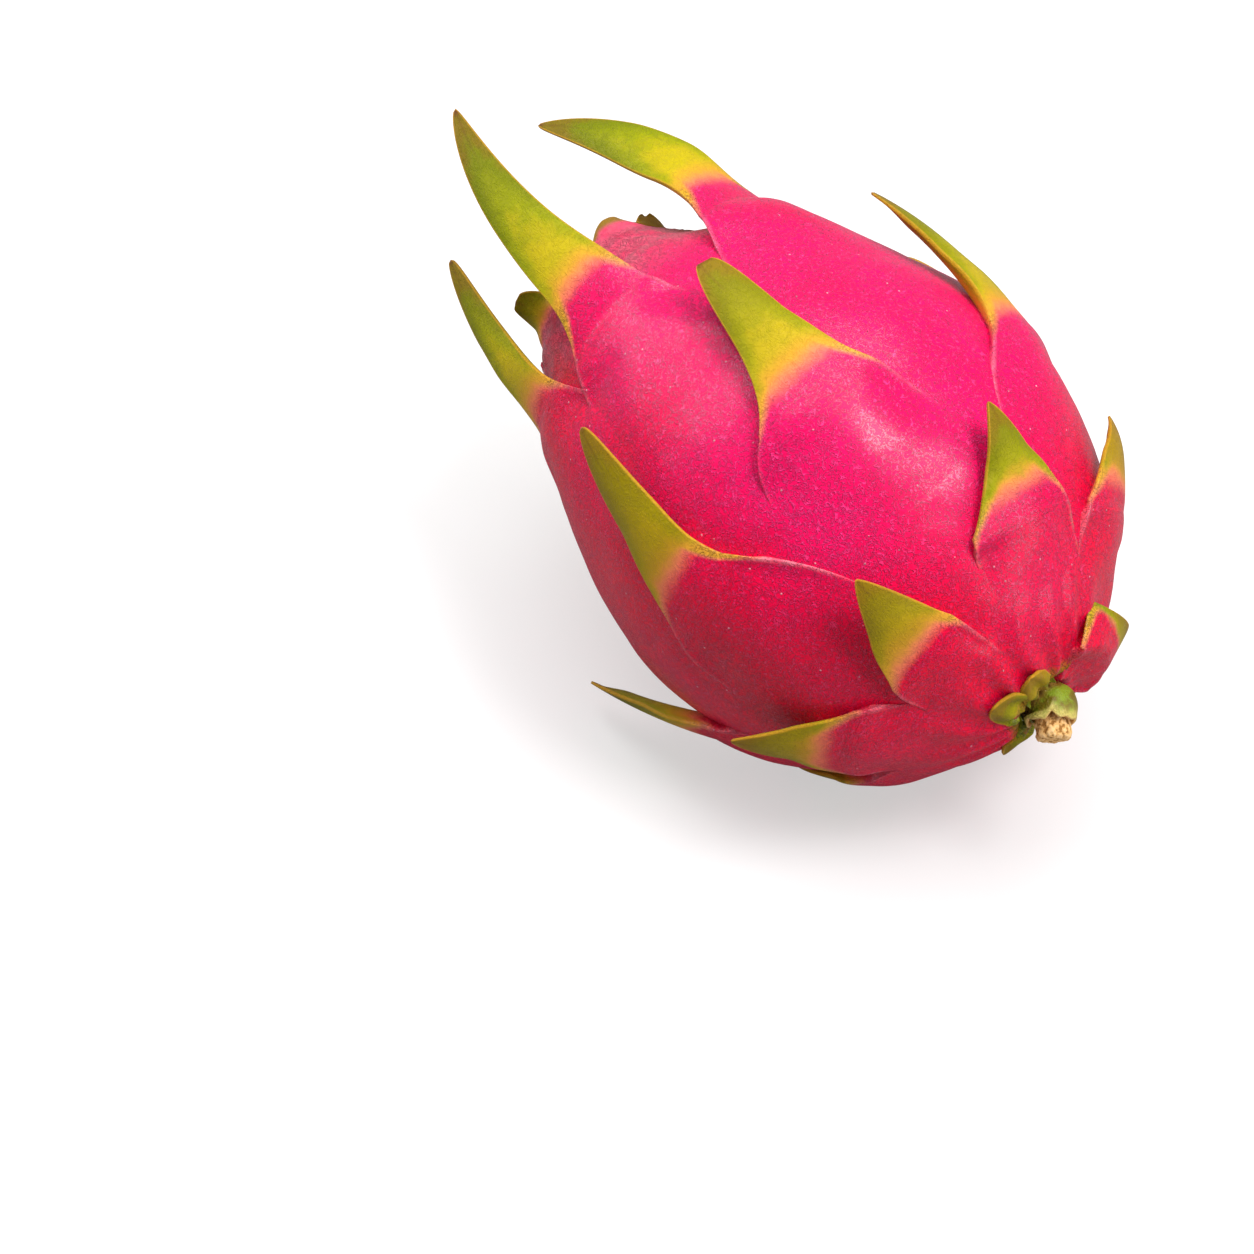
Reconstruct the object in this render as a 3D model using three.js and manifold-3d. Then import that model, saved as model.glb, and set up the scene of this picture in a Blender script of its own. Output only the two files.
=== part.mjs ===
// A whole dragon fruit (pitaya), lying on its side as it rests on a table.
// Lengths are millimetres and angles are degrees; +Z is up and the table is the plane z = 0.
// The fruit is drawn standing, with the middle of its stem end at the origin and its blossom end
// up the +Z axis. It is laid down at the end: the blossom end then points along -X, the stem
// along +X, and the origin is under the place where the fruit touches the table.
import * as THREE from "three";
import { mergeVertices } from "three/addons/utils/BufferGeometryUtils.js";
import Module from "manifold-3d";

const wasm = await Module();
wasm.setup();

// ---- the body ----
const BODY_LENGTH = 121; // stem end to the rim of the blossom end
const BODY_RADIUS = 46; // at the widest place, between the bracts' shoulders
const WIDEST_AT = 57.5; // from the stem end
const STEM_ROUNDNESS = [2.05, 0.52]; // powers of the outline from the stem end to the widest place
const BLOSSOM_ROUNDNESS = [1.62, 0.72]; // powers of the outline from there to the blossom end
const MISSING_POINT = 10; // how much further the outline would run to close in a point
const PIT_RADIUS = 6.4; // mouth of the pit that the stem stands in
const PIT_FLOOR = 4.6; // radius of its floor
const PIT_DEPTH = 3;
const PIT_FLARE = 1; // extra radius of the room cut in front of the pit
const NAVEL_RADIUS = 10; // the hollow that the dead flower left
const NAVEL_DEPTH = 9;
const NAVEL_FLOOR = 7; // radius of its floor
const NAVEL_BEVEL = 1; // drop from the rim to the hollow's wall
const AROUND = 36; // facets round the body
const ALONG = 16; // rows of facets from the stem end to the rim

// ---- how it lies ----
const AXIS_TILT = 10; // the blossom end is propped this much higher than the stem end
const SKIN_CLEARANCE = 0.6; // between the table and the lowest bare skin: the pads are pressed flat

// ---- the cut stem: a woody core in the torn green rind that is left round it ----
const STEM_GAP = 0.3; // clearance between the stem and its pit
const STEM_CORE_RADIUS = 3.9;
const STEM_RIND_RADIUS = 5.3;
const STEM_RIND_STEP = 2.4; // where the rind ends, past the stem end of the body
const STEM_LENGTH = 6.5; // past the stem end of the body
const STEM_BEND = 34; // the stem bends down by this much where it leaves the pit
const STEM_BENDS_TO = -110; // turn that it bends towards
const STEM_SIDES = 16;
const STEM_BEVEL = 0.6; // length of the bevels of the rind's lip and of the cut end
const STEM_RIND_LIP = 0.8; // how much narrower the rind's torn lip is
const STEM_STEP_LENGTH = 0.1; // length of the step from the rind's lip down to the core

// ---- the bracts: fleshy green-tipped scales that grow out of the skin in rows ----
const SHOULDER_SPREAD = 45; // angle of the shoulder's edges to the body's length
const SHOULDER_WIDEST = 21; // greatest half width of a shoulder
const PAD_CROWN = 0.25; // share of a shoulder's height by which its edges are lower
const ROOT_DEPTH = 5; // how far the shoulder is sunk in the body
const SHOULDER_START = -1; // height of a shoulder's back end: it rises from under the skin
const BLADE_FULLNESS = 1.45; // how far up the blade it stays wide
const FLARE_REACH = 6; // how quickly the blade's flare at its foot dies away up the blade
const FOOT_THICKNESS = 5;
const TIP_THICKNESS = 1.4;
const EDGE_THICKNESS = 1.2;
const THINNING = 0.8; // power by which a blade thins to its tip and to its edges
const CUPPING = 0.9; // radius a free blade is cupped to, as a share of its width
// Runs up the blade by which it has come free of the shoulder's shape.
const FREE_OF = { body: 0.12, facing: 0.35, cup: 0.5, twist: 0.6 };
const SPINE_STEPS = 16;
// Bracts under the fruit are pressed along its skin, from one cosine of the turn off the table
// to another.
const PRESSED = [0.45, 0.9];
const CELLS = 4; // facets across a bract's outer face
const LONG_RUNS = [-1, -0.7, -0.45, -0.2, 0, 0.1, 0.22, 0.38, 0.56, 0.74, 0.9, 0.97];
const SHORT_RUNS = [-1, -0.5, 0, 0.25, 0.5, 0.75, 0.95];
const SHORT_BLADE = 15; // bracts shorter than this are drawn with fewer rings

// Each row's bracts stand at one height round the body, half a step on from the row below.
// turn: of the first one, where 0 is on top as the fruit lies and -90 faces the front.
// foot: height above the stem end. long: the free blade. wide: its greatest width.
// taper: how evenly it narrows, from 0.5 for a blunt tip to 0.9 for a long point.
// rise: angle off the skin at the foot. curl: bend towards the body over the blade's length.
// lean and sway: the same two to the side. twist: turn of the blade about its own length.
// shoulder: length of the swelling behind the foot. pad: how far it stands above the skin at the
// foot. flare: extra half width at the foot.
const ROWS = {
  collar: {
    count: 5, turn: 62, foot: 2.5, long: 5, wide: 8, taper: 0.6, rise: 0, curl: 0,
    shoulder: 6, pad: 1.2, flare: 1,
  },
  stem: {
    count: 7, turn: 6, foot: 18, long: 20, wide: 12, taper: 0.75, rise: 15, curl: 14,
    shoulder: 20, pad: 2.4, flare: 5.5,
  },
  middle: {
    count: 7, turn: -18, foot: 52, long: 35, wide: 12.5, taper: 0.55, rise: 7, curl: 22,
    shoulder: 34, pad: 2.6, flare: 5,
  },
  blossom: {
    count: 6, turn: -34, foot: 100, long: 47, wide: 12.5, taper: 0.85, rise: 26, curl: 12,
    shoulder: 40, pad: 2.6, flare: 5,
  },
  lips: {
    count: 4, turn: 5, foot: 112, long: 9, wide: 14, taper: 0.4, rise: 4, curl: 10,
    shoulder: 12, pad: 1.6, flare: 2,
  },
  innerLips: {
    count: 4, turn: 49, foot: 118, long: 3.2, wide: 13, taper: 0.4, rise: 0, curl: 30,
    shoulder: 5, pad: 0.4, flare: 1,
  },
};

// How single bracts of a row depart from it, counted round from the row's first one.
const DEPARTURES = {
  collar: { 0: { turn: 70, foot: 2, long: 8, wide: 13, rise: 18, pad: 1.6 } },
  stem: {
    0: { foot: 20, long: 21, lean: -5 },
    1: { turn: 56, long: 17, wide: 9, curl: 28, lean: 6 },
    6: { turn: -46, foot: 15, long: 20, rise: 19, lean: 7, sway: 6 },
  },
  middle: {
    0: { foot: 56, long: 33, rise: 6, curl: 17, sway: 8 },
    1: { turn: 30, foot: 50, wide: 9, rise: 11, curl: 29, lean: 4, sway: 3 },
    5: { turn: -130, foot: 43, long: 32, rise: 15, curl: 13, lean: -10, sway: -5, press: 0 },
    6: { turn: -68, foot: 49, long: 36, rise: 5, curl: 23, lean: 9, sway: 6 },
  },
  blossom: {
    0: { turn: -37, foot: 99, long: 53, wide: 15, rise: 29, curl: 0, lean: -7, sway: 30, flare: 6 },
    1: { turn: 24, foot: 102, long: 53, wide: 13, rise: 29, curl: 34, lean: 1, sway: 5, twist: 40 },
    5: { turn: -82, foot: 101, long: 38, wide: 8, curl: 16, sway: 6, flare: 3.5 },
  },
  lips: {
    0: { turn: -4, foot: 111.5, rise: 3, curl: 0, pad: 1, flare: 1.5 },
    1: { turn: 104, long: 8 },
    3: { turn: -71, long: 10, wide: 9, rise: 15, curl: -50 },
  },
};
// The others vary by up to this much either way.
const VARIATION = { turn: 3, foot: 1, long: 1.5, wide: 0.8, rise: 4, curl: 5, lean: 3, sway: 4 };
const SEED = 20;

const rad = THREE.MathUtils.degToRad;
const lerp = THREE.MathUtils.lerp;
const smooth = THREE.MathUtils.smoothstep;

// Radius of the bare skin at a height above the stem end.
function skinRadius(z) {
  const [power, root] = z < WIDEST_AT ? STEM_ROUNDNESS : BLOSSOM_ROUNDNESS;
  const reach = z < WIDEST_AT ? WIDEST_AT : BODY_LENGTH + MISSING_POINT - WIDEST_AT;
  return BODY_RADIUS * (1 - (Math.abs(z - WIDEST_AT) / reach) ** power) ** root;
}

// How far the skin leans out from the body's length at a height, as an angle.
function skinLean(z) {
  const step = 0.01;
  const near = Math.max(z, 2 * step);
  return Math.atan((skinRadius(near + step) - skinRadius(near - step)) / (2 * step));
}

// The height reached by going a distance over the skin towards the stem end.
function heightBehind(z, distance) {
  const step = 0.25;
  let height = z;
  for (let gone = 0; gone < distance; gone += step) {
    height = Math.max(height - Math.min(step, distance - gone) * Math.cos(skinLean(height)), 0);
  }
  return height;
}

function skinPoint(turn, z, above = 0) {
  const lean = skinLean(z);
  const r = skinRadius(z) + above * Math.cos(lean);
  return new THREE.Vector3(Math.cos(turn) * r, Math.sin(turn) * r, z - above * Math.sin(lean));
}

function toSolid(geometry) {
  const bare = geometry.clone();
  bare.deleteAttribute("normal");
  bare.deleteAttribute("uv");
  const merged = mergeVertices(bare, 1e-4);
  return new wasm.Manifold(
    new wasm.Mesh({
      numProp: 3,
      vertProperties: merged.attributes.position.array,
      triVerts: new Uint32Array(merged.index.array),
    }),
  );
}

function toGeometry(solid) {
  const mesh = solid.getMesh();
  const geometry = new THREE.BufferGeometry();
  geometry.setAttribute("position", new THREE.BufferAttribute(mesh.vertProperties, 3));
  geometry.setIndex(new THREE.BufferAttribute(mesh.triVerts, 1));
  geometry.computeVertexNormals();
  return geometry;
}

// The outer shell alone: hollows sealed between fused bracts are filled and scraps are dropped.
function outerShell(solid) {
  return solid.decompose().reduce((kept, piece) => (piece.volume() > kept.volume() ? piece : kept));
}

// A closed surface through equal rings of points, with a fan over each end.
function skinRings(rings) {
  const count = rings[0].length;
  const middle = (ring) =>
    ring.reduce((sum, p) => sum.add(p), new THREE.Vector3()).divideScalar(count);
  const points = [...rings.flat(), middle(rings[0]), middle(rings.at(-1))];
  const last = (rings.length - 1) * count;
  const index = [];
  for (let i = 0; i < count; i++) {
    const j = (i + 1) % count;
    for (let base = 0; base < last; base += count) {
      index.push(base + i, base + j, base + count + i);
      index.push(base + j, base + count + j, base + count + i);
    }
    index.push(j, i, rings.length * count);
    index.push(last + i, last + j, rings.length * count + 1);
  }
  const geometry = new THREE.BufferGeometry().setFromPoints(points);
  geometry.setIndex(index);
  return geometry;
}

function bodyGeometry() {
  const profile = [];
  for (let i = 0; i <= ALONG; i++) {
    const z = ((1 - Math.cos((Math.PI * i) / ALONG)) / 2) * BODY_LENGTH;
    profile.push(new THREE.Vector2(skinRadius(z), z));
  }
  profile.push(new THREE.Vector2(NAVEL_RADIUS, BODY_LENGTH - NAVEL_BEVEL));
  profile.push(new THREE.Vector2(NAVEL_FLOOR, BODY_LENGTH - NAVEL_DEPTH));
  profile.push(new THREE.Vector2(0, BODY_LENGTH - NAVEL_DEPTH));
  return new THREE.LatheGeometry(profile, AROUND).rotateX(Math.PI / 2);
}

// Half width of a bract at a run along it: 0 at the foot and 1 at the tip.
function halfWidth(bract, run) {
  const blade = (bract.wide / 2) * Math.max(1 - run ** BLADE_FULLNESS, 0) ** bract.taper;
  return blade + bract.flare * Math.exp((-run * bract.long) / FLARE_REACH);
}

// The middle of a bract's outer face at a run along it, and the directions there.
function spineAt(bract, run) {
  const turn = rad(bract.turn);
  const radial = new THREE.Vector3(Math.cos(turn), Math.sin(turn), 0);
  const around = new THREE.Vector3(-Math.sin(turn), Math.cos(turn), 0);
  const point = skinPoint(turn, bract.foot, bract.pad);
  const ahead = new THREE.Vector3();
  for (let i = 0; i <= SPINE_STEPS; i++) {
    const part = (run * i) / SPINE_STEPS;
    const free = skinLean(bract.foot) + rad(bract.rise - bract.curl * part);
    const lift = lerp(free, skinLean(Math.min(point.z, BODY_LENGTH)), bract.press);
    const side = rad(bract.lean + bract.sway * part);
    ahead
      .set(0, 0, Math.cos(lift) * Math.cos(side))
      .addScaledVector(radial, Math.sin(lift) * Math.cos(side))
      .addScaledVector(around, Math.sin(side));
    if (i < SPINE_STEPS) point.addScaledVector(ahead, (run * bract.long) / SPINE_STEPS);
  }
  const twist = rad(bract.twist) * smooth(run, 0, FREE_OF.twist);
  const across = around.addScaledVector(ahead, -around.dot(ahead)).normalize();
  const out = new THREE.Vector3().crossVectors(across, ahead);
  across.applyAxisAngle(ahead, -twist);
  out.applyAxisAngle(ahead, -twist);
  return { point, across, out, radial };
}

// The shoulder: a ring over the skin behind the foot and back through the flesh.
function shoulderRing(bract, run) {
  const back = -run * bract.shoulder;
  const z = heightBehind(bract.foot, back);
  const half = Math.min(halfWidth(bract, 0) + back * Math.tan(rad(SHOULDER_SPREAD)), SHOULDER_WIDEST);
  const fade = smooth(run, -1, 0);
  const outer = [];
  const inner = [];
  for (let i = 0; i <= CELLS; i++) {
    const share = (2 * i) / CELLS - 1;
    const spin = rad(bract.turn) + (share * half) / skinRadius(bract.foot);
    const height = lerp(SHOULDER_START, bract.pad * (1 - PAD_CROWN * share * share), fade);
    outer.push(skinPoint(spin, z, height));
    inner.push(skinPoint(spin, z, height - ROOT_DEPTH));
  }
  return [...outer, ...inner.reverse()];
}

// The free blade: a ring over its outer face and back under its inner face.
function bladeRing(bract, run) {
  const { point, across, out, radial } = spineAt(bract, run);
  const turned = smooth(run, 0, FREE_OF.facing);
  const normal = radial.lerp(out, turned).normalize();
  const over = skinRadius(bract.foot) + bract.pad;
  const cup = lerp(over, bract.wide * CUPPING, smooth(run, 0, FREE_OF.cup));
  const middle = lerp(FOOT_THICKNESS, TIP_THICKNESS, run ** THINNING);
  const outer = [];
  const inner = [];
  for (let i = 0; i <= CELLS; i++) {
    const share = (2 * i) / CELLS - 1;
    const bend = (share * halfWidth(bract, run)) / cup;
    const crown = bract.pad * PAD_CROWN * share * share * (1 - turned);
    const place = point.clone().addScaledVector(across, cup * Math.sin(bend));
    place.addScaledVector(normal, -cup * (1 - Math.cos(bend)) - crown);
    const thick = lerp(EDGE_THICKNESS, middle, (1 - share * share) ** THINNING);
    const depth = lerp(ROOT_DEPTH, thick, smooth(run, 0, FREE_OF.body));
    outer.push(place);
    inner.push(place.clone().addScaledVector(normal, -depth));
  }
  return [...outer, ...inner.reverse()];
}

function bractGeometry(bract) {
  const runs = bract.long < SHORT_BLADE ? SHORT_RUNS : LONG_RUNS;
  return skinRings(runs.map((run) => (run < 0 ? shoulderRing(bract, run) : bladeRing(bract, run))));
}

// Even random numbers from -1 to 1, the same ones every time.
function* evenDraws(seed) {
  for (let state = seed; ; ) {
    state = (state * 16807) % 2147483647;
    yield (2 * state) / 2147483647 - 1;
  }
}

function bracts() {
  const draws = evenDraws(SEED);
  return Object.entries(ROWS).flatMap(([name, row]) =>
    Array.from({ length: row.count }, (_, place) => {
      const regular = { lean: 0, sway: 0, twist: 0, ...row, turn: row.turn + (place * 360) / row.count };
      const varied = { ...regular };
      for (const [key, spread] of Object.entries(VARIATION)) varied[key] += spread * draws.next().value;
      const departure = DEPARTURES[name]?.[place];
      const bract = departure ? { ...regular, ...departure } : varied;
      return { press: smooth(-Math.cos(rad(bract.turn)), ...PRESSED), ...bract };
    }),
  );
}

// Where the laid-down skin would be lowest, measured from the drawing's origin.
function lowestSkin() {
  const step = 0.1;
  const sideways = new THREE.Vector3(0, 1, 0);
  let lowest = new THREE.Vector3();
  for (let z = 0; z < BODY_LENGTH; z += step) {
    const p = skinPoint(Math.PI, z).applyAxisAngle(sideways, rad(AXIS_TILT - 90));
    if (p.z < lowest.z) lowest = p;
  }
  return lowest;
}

// The stem: rings along a line that comes out of the pit and then bends. It can be drawn grown
// by a clearance, to cut its own room.
function stemGeometry(grown = 0) {
  const rows = [
    { past: STEM_GAP - PIT_DEPTH - grown, radius: PIT_FLOOR - STEM_GAP },
    { past: 0, radius: STEM_RIND_RADIUS },
    { past: STEM_RIND_STEP - STEM_BEVEL, radius: STEM_RIND_RADIUS },
    { past: STEM_RIND_STEP + grown, radius: STEM_RIND_RADIUS - STEM_RIND_LIP },
    { past: STEM_RIND_STEP + grown + STEM_STEP_LENGTH, radius: STEM_CORE_RADIUS },
    { past: STEM_LENGTH - STEM_BEVEL, radius: STEM_CORE_RADIUS },
    { past: STEM_LENGTH + grown, radius: STEM_CORE_RADIUS - STEM_BEVEL },
  ];
  const bendsTo = rad(STEM_BENDS_TO);
  const axis = new THREE.Vector3(Math.sin(bendsTo), -Math.cos(bendsTo), 0);
  const rings = rows.map(({ past, radius }) => {
    const bend = rad(STEM_BEND) * smooth(past, 0, STEM_RIND_STEP);
    return Array.from({ length: STEM_SIDES }, (_, i) => {
      const angle = (-2 * Math.PI * i) / STEM_SIDES;
      const p = new THREE.Vector3(Math.cos(angle), Math.sin(angle), 0).multiplyScalar(radius + grown);
      p.z = -past;
      return p.applyAxisAngle(axis, bend);
    });
  });
  return skinRings(rings);
}

// The room round the foot of the stem.
function pitGeometry() {
  const profile = [
    new THREE.Vector2(0, -2 * PIT_DEPTH),
    new THREE.Vector2(PIT_RADIUS + PIT_FLARE, -2 * PIT_DEPTH),
    new THREE.Vector2(PIT_RADIUS, 0),
    new THREE.Vector2(PIT_FLOOR, PIT_DEPTH),
    new THREE.Vector2(0, PIT_DEPTH),
  ];
  return new THREE.LatheGeometry(profile, STEM_SIDES).rotateX(Math.PI / 2);
}

// The table, as a block placed as the standing fruit sees it.
function tableGeometry(layDown) {
  layDown.updateMatrixWorld();
  const size = 3 * BODY_LENGTH;
  const table = new THREE.BoxGeometry(size, size, size).translate(0, 0, -size / 2);
  return table.applyMatrix4(layDown.matrixWorld.clone().invert());
}

const touch = lowestSkin();
const layDown = new THREE.Group();
layDown.rotation.y = rad(AXIS_TILT - 90);
layDown.position.set(-touch.x, 0, SKIN_CLEARANCE - touch.z);

let fruit = toSolid(bodyGeometry());
for (const bract of bracts()) fruit = fruit.add(toSolid(bractGeometry(bract)));
const cuts = [pitGeometry(), stemGeometry(STEM_GAP), tableGeometry(layDown)];
for (const cut of cuts) fruit = fruit.subtract(toSolid(cut));
fruit = outerShell(fruit);

const skin = new THREE.MeshStandardMaterial({ color: 0xe0174f, roughness: 0.45, metalness: 0 });
const wood = new THREE.MeshStandardMaterial({ color: 0xb08a4e, roughness: 0.8, metalness: 0 });

const fruitMesh = new THREE.Mesh(toGeometry(fruit), skin);
fruitMesh.name = "fruit";
const stemMesh = new THREE.Mesh(stemGeometry(), wood);
stemMesh.name = "stem_stub";
layDown.add(fruitMesh, stemMesh);

const dragonFruit = new THREE.Group();
dragonFruit.add(layDown);
export default dragonFruit;
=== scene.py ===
import math

import bpy
import numpy as np
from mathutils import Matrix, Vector, noise


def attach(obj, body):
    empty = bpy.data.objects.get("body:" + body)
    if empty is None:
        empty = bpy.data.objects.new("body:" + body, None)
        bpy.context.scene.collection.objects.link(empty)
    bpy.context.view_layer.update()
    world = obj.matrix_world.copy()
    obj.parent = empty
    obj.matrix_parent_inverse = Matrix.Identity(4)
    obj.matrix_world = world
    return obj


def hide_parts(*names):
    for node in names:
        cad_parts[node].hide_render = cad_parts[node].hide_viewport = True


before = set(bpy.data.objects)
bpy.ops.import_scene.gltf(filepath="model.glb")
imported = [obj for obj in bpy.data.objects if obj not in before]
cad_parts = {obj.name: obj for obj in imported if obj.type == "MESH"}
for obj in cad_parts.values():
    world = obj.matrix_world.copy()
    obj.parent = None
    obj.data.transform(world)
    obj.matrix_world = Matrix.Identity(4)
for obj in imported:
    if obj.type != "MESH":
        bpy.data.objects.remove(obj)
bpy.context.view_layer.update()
mm = 0.001
print("frame loaded")


# small helpers

def smooth(x, low, high):
    t = np.clip((np.asarray(x, float) - low) / (high - low), 0, 1)
    return t * t * (3 - 2 * t)


def mix(a, b, t):
    return a + (b - a) * t


def selectOnly(*objects):
    bpy.ops.object.select_all(action="DESELECT")
    for obj in objects:
        obj.select_set(True)
    bpy.context.view_layer.objects.active = objects[0]


def placesOf(obj):
    places = np.empty(len(obj.data.vertices) * 3)
    obj.data.vertices.foreach_get("co", places)
    return places.reshape(-1, 3)


def place(obj, places):
    obj.data.vertices.foreach_set("co", np.asarray(places, float).ravel())
    obj.data.update()


def giveAttribute(obj, name, values):
    layer = obj.data.attributes.new(name, "FLOAT", "POINT")
    layer.data.foreach_set("value", np.asarray(values, np.float32))


def addBall(name, around, rings):
    bpy.ops.object.select_all(action="DESELECT")
    bpy.ops.mesh.primitive_uv_sphere_add(segments=around, ring_count=rings, radius=1)
    ball = bpy.context.object
    ball.name = name
    return ball


def finish(piece, node):
    selectOnly(piece)
    bpy.ops.object.shade_smooth()
    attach(piece, "root")
    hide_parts(node)


# the body, in millimetres and degrees: drawn standing on its stem end, turn 0 on top as it lies

body = {
    "length": 121,  # stem end to the rim of the blossom end
    "radius": 46,
    "widestAt": 57.5,
    "stemRoundness": (2.05, 0.52),
    "blossomRoundness": (1.62, 0.72),
    "missingPoint": 10,  # the outline would close this much further on
    # profiles of pairs of radius and height
    "hollow": ((13.2, 121.3), (11.4, 120.6), (9.8, 117.5), (8.4, 114), (6, 112.6), (0, 112)),
    "pit": ((0, 3.4), (4.2, 3.3), (5.4, 2.6), (6.1, 1.6), (6.8, 1), (7.6, 0.9)),
    "around": 340,
    "rings": 260,
    "profilePoints": 400,
    "tilt": 10,  # the blossom end is propped up by this angle
    "skinClearance": 0.6,  # between the table and the lowest bare skin
}


def skinRadius(z):
    z = np.asarray(z, float)
    low = z < body["widestAt"]
    power = np.where(low, body["stemRoundness"][0], body["blossomRoundness"][0])
    root = np.where(low, body["stemRoundness"][1], body["blossomRoundness"][1])
    upper = body["length"] + body["missingPoint"] - body["widestAt"]
    reach = np.where(low, body["widestAt"], upper)
    share = np.clip(np.abs(z - body["widestAt"]) / reach, 0, 1)
    return body["radius"] * (1 - share ** power) ** root


def skinLean(z):
    step = 0.01
    near = np.maximum(z, 2 * step)
    return np.arctan((skinRadius(near + step) - skinRadius(near - step)) / (2 * step))


def heightBehind(z, distance):
    heights = np.linspace(0, body["length"], 2000)
    radii = skinRadius(heights)
    gone = np.concatenate(([0], np.cumsum(np.hypot(np.diff(radii), np.diff(heights)))))
    return np.interp(np.interp(z, heights, gone) - distance, gone, heights)


def skinPoint(turn, z, above=0):
    lean = skinLean(z)
    r = skinRadius(z) + above * np.cos(lean)
    return np.stack((np.cos(turn) * r, np.sin(turn) * r, z - above * np.sin(lean)), axis=-1)


# laying down: the standing fruit is tipped over backwards until its skin meets the table
tip = math.radians(body["tilt"] - 90)
tipped = np.array(((math.cos(tip), 0, math.sin(tip)), (0, 1, 0), (-math.sin(tip), 0, math.cos(tip))))
belly = skinPoint(math.pi, np.arange(0, body["length"], 0.1)) @ tipped.T
touch = belly[belly[:, 2].argmin()]
resting = np.array((-touch[0], 0, body["skinClearance"] - touch[2]))


def layDown(points):
    return (points @ tipped.T + resting) * mm


def skinNormal(turn, z):
    lean = skinLean(z)
    return np.stack((np.cos(turn) * np.cos(lean), np.sin(turn) * np.cos(lean), -np.sin(lean)), axis=-1)


relief = {
    "lumps": 0.4,
    "lumpSize": 15,
    "dents": 0.1,
    "dentSize": 5,
    "puckers": 0.45,  # folds that run into the stem pit
    "puckerCount": 17,
    "puckersFade": (1.5, 14),
    "neckFolds": 0.35,
    "neckFoldCount": 19,
    "neckFoldSize": 8,  # over which the folds grow and shrink
    "neckFoldWander": 2.5,
    "neckFoldShown": (0.5, 1.4),  # everywhere, and by the noise
    "neckFoldsStart": (102, 118),
    "wander": 4,
    "dip": {"turn": 34, "height": 114, "wide": 12, "deep": 3.6},  # between two of the top bracts
}


def noiseOver(points, size, seed):
    shift = Vector((17.3, 5.1, 9.7)) * seed
    return np.array([noise.noise(Vector(point) / size + shift) for point in points.tolist()])


def skinRelief(points):
    turn = np.arctan2(points[:, 1], points[:, 0])
    z = points[:, 2]
    wander = relief["wander"] * noiseOver(points, relief["lumpSize"], 3)
    height = relief["lumps"] * noiseOver(points, relief["lumpSize"], 1)
    height += relief["dents"] * noiseOver(points, relief["dentSize"], 2)
    nearStem = 1 - smooth(z, *relief["puckersFade"])
    height += relief["puckers"] * np.cos(turn * relief["puckerCount"] + wander) * nearStem
    onNeck = smooth(z, *relief["neckFoldsStart"])
    folds = np.cos(turn * relief["neckFoldCount"] + relief["neckFoldWander"] * wander)
    everywhere, byNoise = relief["neckFoldShown"]
    folds *= everywhere + byNoise * noiseOver(points, relief["neckFoldSize"], 4)
    return height + relief["neckFolds"] * folds * onNeck


def dipDepth(points):
    dip = relief["dip"]
    middle = skinPoint(math.radians(dip["turn"]), dip["height"])
    off = np.linalg.norm(points - middle, axis=1) / dip["wide"]
    return dip["deep"] * np.exp(-off ** 2)


def growBody():
    heights = (1 - np.cos(np.linspace(0, np.pi, body["profilePoints"]) * 0.995)) / 2 * body["length"]
    pitRadius = body["pit"][-1][0]
    heights = heights[(heights < body["length"] - 1) & (skinRadius(heights) > pitRadius + 0.3)]
    profile = list(body["pit"]) + [(float(skinRadius(z)), z) for z in heights] + list(body["hollow"])
    radii, heights = np.array(profile).T
    gone = np.concatenate(([0], np.cumsum(np.hypot(np.diff(radii), np.diff(heights)))))
    ball = addBall("fruitBody", body["around"], body["rings"])
    at = placesOf(ball)
    way = (1 - np.arccos(np.clip(at[:, 2], -1, 1)) / np.pi) * gone[-1]
    turn = np.arctan2(at[:, 1], at[:, 0])
    r = np.interp(way, gone, radii)
    z = np.interp(way, gone, heights)
    points = np.stack((np.cos(turn) * r, np.sin(turn) * r, z), axis=-1)
    pit, hollow = len(body["pit"]), len(body["hollow"])
    outside = smooth(way, gone[pit - 2], gone[pit] + 1)
    outside *= 1 - smooth(way, gone[-hollow] - 1, gone[2 - hollow])
    bumps = (skinRelief(points) - dipDepth(points)) * outside
    points += skinNormal(turn, np.clip(z, 0.5, body["length"])) * bumps[:, None]
    lying = layDown(points)
    lying[:, 2] = np.maximum(lying[:, 2], 0)
    place(ball, lying)
    giveAttribute(ball, "height", z)
    giveAttribute(ball, "fromAxis", r)
    inPit = 1 - smooth(way, gone[2], gone[pit - 2])
    inHollow = smooth(way, gone[1 - hollow], gone[3 - hollow])
    giveAttribute(ball, "hidden", inPit + inHollow)
    return ball


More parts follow.
